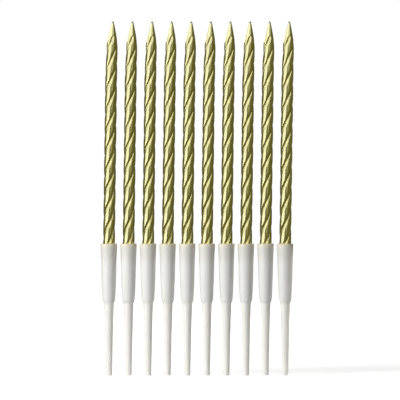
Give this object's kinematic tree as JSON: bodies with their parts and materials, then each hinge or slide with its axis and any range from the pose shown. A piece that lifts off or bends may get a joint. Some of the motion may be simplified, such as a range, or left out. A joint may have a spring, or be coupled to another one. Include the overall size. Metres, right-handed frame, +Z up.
{
  "type": "spiral birthday candle set",
  "caption": "Row of slim gold spiral birthday candles with pointed noses, each one held in a tapered white plastic cup whose spike pushes into a cake.",
  "frame": {"origin": "middle of the row, at the height where the spikes meet the top of the cake", "axes": "+Z up the holders, +X along the row, -Y towards someone who looks at the front of the row"},
  "size_m": [0.0804, 0.007, 0.1477],
  "materials": {
    "gold_lacquered_wax": "gold metallic lacquer over twisted wax",
    "cotton_wick": "cotton cord, its end dipped in the same lacquer",
    "white_plastic": "glossy moulded white plastic"
  },
  "bodies": {
    "holders": {"holder_01": "white_plastic", "holder_02": "white_plastic", "holder_03": "white_plastic", "holder_04": "white_plastic", "holder_05": "white_plastic", "holder_06": "white_plastic", "holder_07": "white_plastic", "holder_08": "white_plastic", "holder_09": "white_plastic", "holder_10": "white_plastic"},
    "candle_01": {"wax_rod_01": "gold_lacquered_wax", "wick_01": "cotton_wick"},
    "candle_02": {"wax_rod_02": "gold_lacquered_wax", "wick_02": "cotton_wick"},
    "candle_03": {"wax_rod_03": "gold_lacquered_wax", "wick_03": "cotton_wick"},
    "candle_04": {"wax_rod_04": "gold_lacquered_wax", "wick_04": "cotton_wick"},
    "candle_05": {"wax_rod_05": "gold_lacquered_wax", "wick_05": "cotton_wick"},
    "candle_06": {"wax_rod_06": "gold_lacquered_wax", "wick_06": "cotton_wick"},
    "candle_07": {"wax_rod_07": "gold_lacquered_wax", "wick_07": "cotton_wick"},
    "candle_08": {"wax_rod_08": "gold_lacquered_wax", "wick_08": "cotton_wick"},
    "candle_09": {"wax_rod_09": "gold_lacquered_wax", "wick_09": "cotton_wick"},
    "candle_10": {"wax_rod_10": "gold_lacquered_wax", "wick_10": "cotton_wick"}
  },
  "joints": [
    {"name": "candle_01_pull", "type": "slide", "parent": "holders", "child": "candle_01", "axis": [0.0133, 0, 0.9999], "range_m": [0, 0.012]},
    {"name": "candle_02_pull", "type": "slide", "parent": "holders", "child": "candle_02", "axis": [0.0133, 0, 0.9999], "range_m": [0, 0.012]},
    {"name": "candle_03_pull", "type": "slide", "parent": "holders", "child": "candle_03", "axis": [0.0133, 0, 0.9999], "range_m": [0, 0.012]},
    {"name": "candle_04_pull", "type": "slide", "parent": "holders", "child": "candle_04", "axis": [0.0133, 0, 0.9999], "range_m": [0, 0.012]},
    {"name": "candle_05_pull", "type": "slide", "parent": "holders", "child": "candle_05", "axis": [0.0133, 0, 0.9999], "range_m": [0, 0.012]},
    {"name": "candle_06_pull", "type": "slide", "parent": "holders", "child": "candle_06", "axis": [0.0133, 0, 0.9999], "range_m": [0, 0.012]},
    {"name": "candle_07_pull", "type": "slide", "parent": "holders", "child": "candle_07", "axis": [0.0133, 0, 0.9999], "range_m": [0, 0.012]},
    {"name": "candle_08_pull", "type": "slide", "parent": "holders", "child": "candle_08", "axis": [0.0133, 0, 0.9999], "range_m": [0, 0.012]},
    {"name": "candle_09_pull", "type": "slide", "parent": "holders", "child": "candle_09", "axis": [0.0133, 0, 0.9999], "range_m": [0, 0.012]},
    {"name": "candle_10_pull", "type": "slide", "parent": "holders", "child": "candle_10", "axis": [0.0133, 0, 0.9999], "range_m": [0, 0.012]}
  ]
}
